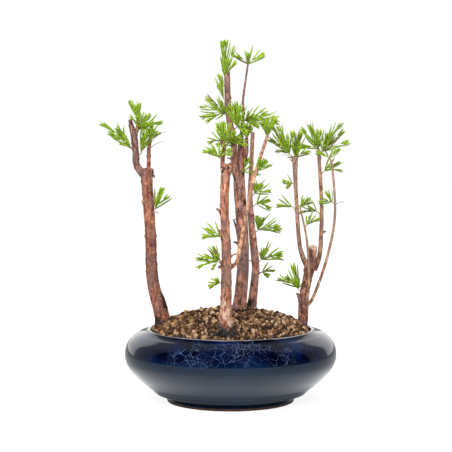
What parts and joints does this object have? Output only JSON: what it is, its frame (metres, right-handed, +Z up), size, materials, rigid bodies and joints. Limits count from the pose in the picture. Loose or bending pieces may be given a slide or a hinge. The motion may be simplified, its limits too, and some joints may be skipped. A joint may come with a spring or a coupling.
{
  "type": "dawn redwood bonsai forest in a bowl",
  "caption": "Young dawn redwoods grown as a small forest bonsai, with fresh green sprays, in a round dark blue glazed bowl heaped with grains of fired clay.",
  "frame": {"origin": "centre of the bowl's flat underside, on the surface that it stands on", "axes": "+Z up along the trunks, +X to the viewer's right in the front view, +Y to the back"},
  "size_m": [0.2602, 0.22, 0.3752],
  "materials": {
    "glaze": "glossy dark blue glaze with a fine crackle",
    "soil": "loose grains of fired clay, matt",
    "bark": "flaking reddish bark, grey and charcoal at the foot",
    "young_bark": "thin tan to reddish bark",
    "needles": "soft flat needles, satin"
  },
  "bodies": {
    "root": {"bough_front_a": "young_bark", "bough_front_b": "young_bark", "bough_leader": "young_bark", "bough_left_a": "young_bark", "bough_left_a_fork": "young_bark", "bough_left_b": "young_bark", "bough_middle_right": "young_bark", "bough_middle_tall": "young_bark", "bough_right_a": "young_bark", "bough_right_b": "young_bark", "bough_right_stub": "young_bark", "bowl": "glaze", "foliage_back_foot": "needles", "foliage_back_high": "needles", "foliage_back_low": "needles", "foliage_back_mid": "needles", "foliage_back_upper": "needles", "foliage_far_mid": "needles", "foliage_far_tip": "needles", "foliage_front_foot": "needles", "foliage_front_low": "needles", "foliage_front_mid": "needles", "foliage_front_side": "needles", "foliage_front_top": "needles", "foliage_leader_left": "needles", "foliage_leader_low": "needles", "foliage_leader_right": "needles", "foliage_leader_top": "needles", "foliage_leader_upper": "needles", "foliage_left_back": "needles", "foliage_left_crown": "needles", "foliage_left_inner": "needles", "foliage_left_low": "needles", "foliage_left_sweep": "needles", "foliage_left_top": "needles", "foliage_long_node": "needles", "foliage_long_tip": "needles", "foliage_middle_node": "needles", "foliage_middle_tip": "needles", "foliage_near_mid": "needles", "foliage_near_tip": "needles", "foliage_right_a_left": "needles", "foliage_right_a_low": "needles", "foliage_right_a_mid": "needles", "foliage_right_a_top": "needles", "foliage_right_b_low": "needles", "foliage_right_b_mid": "needles", "foliage_right_b_right": "needles", "foliage_right_b_top": "needles", "foliage_right_foot": "needles", "foliage_tall_low": "needles", "foliage_tall_tip": "needles", "soil": "soil", "trunk_back": "bark", "trunk_front": "bark", "trunk_left": "bark", "trunk_middle": "bark", "trunk_right": "bark", "twig_right_far": "young_bark", "twig_right_near": "young_bark"}
  },
  "joints": []
}
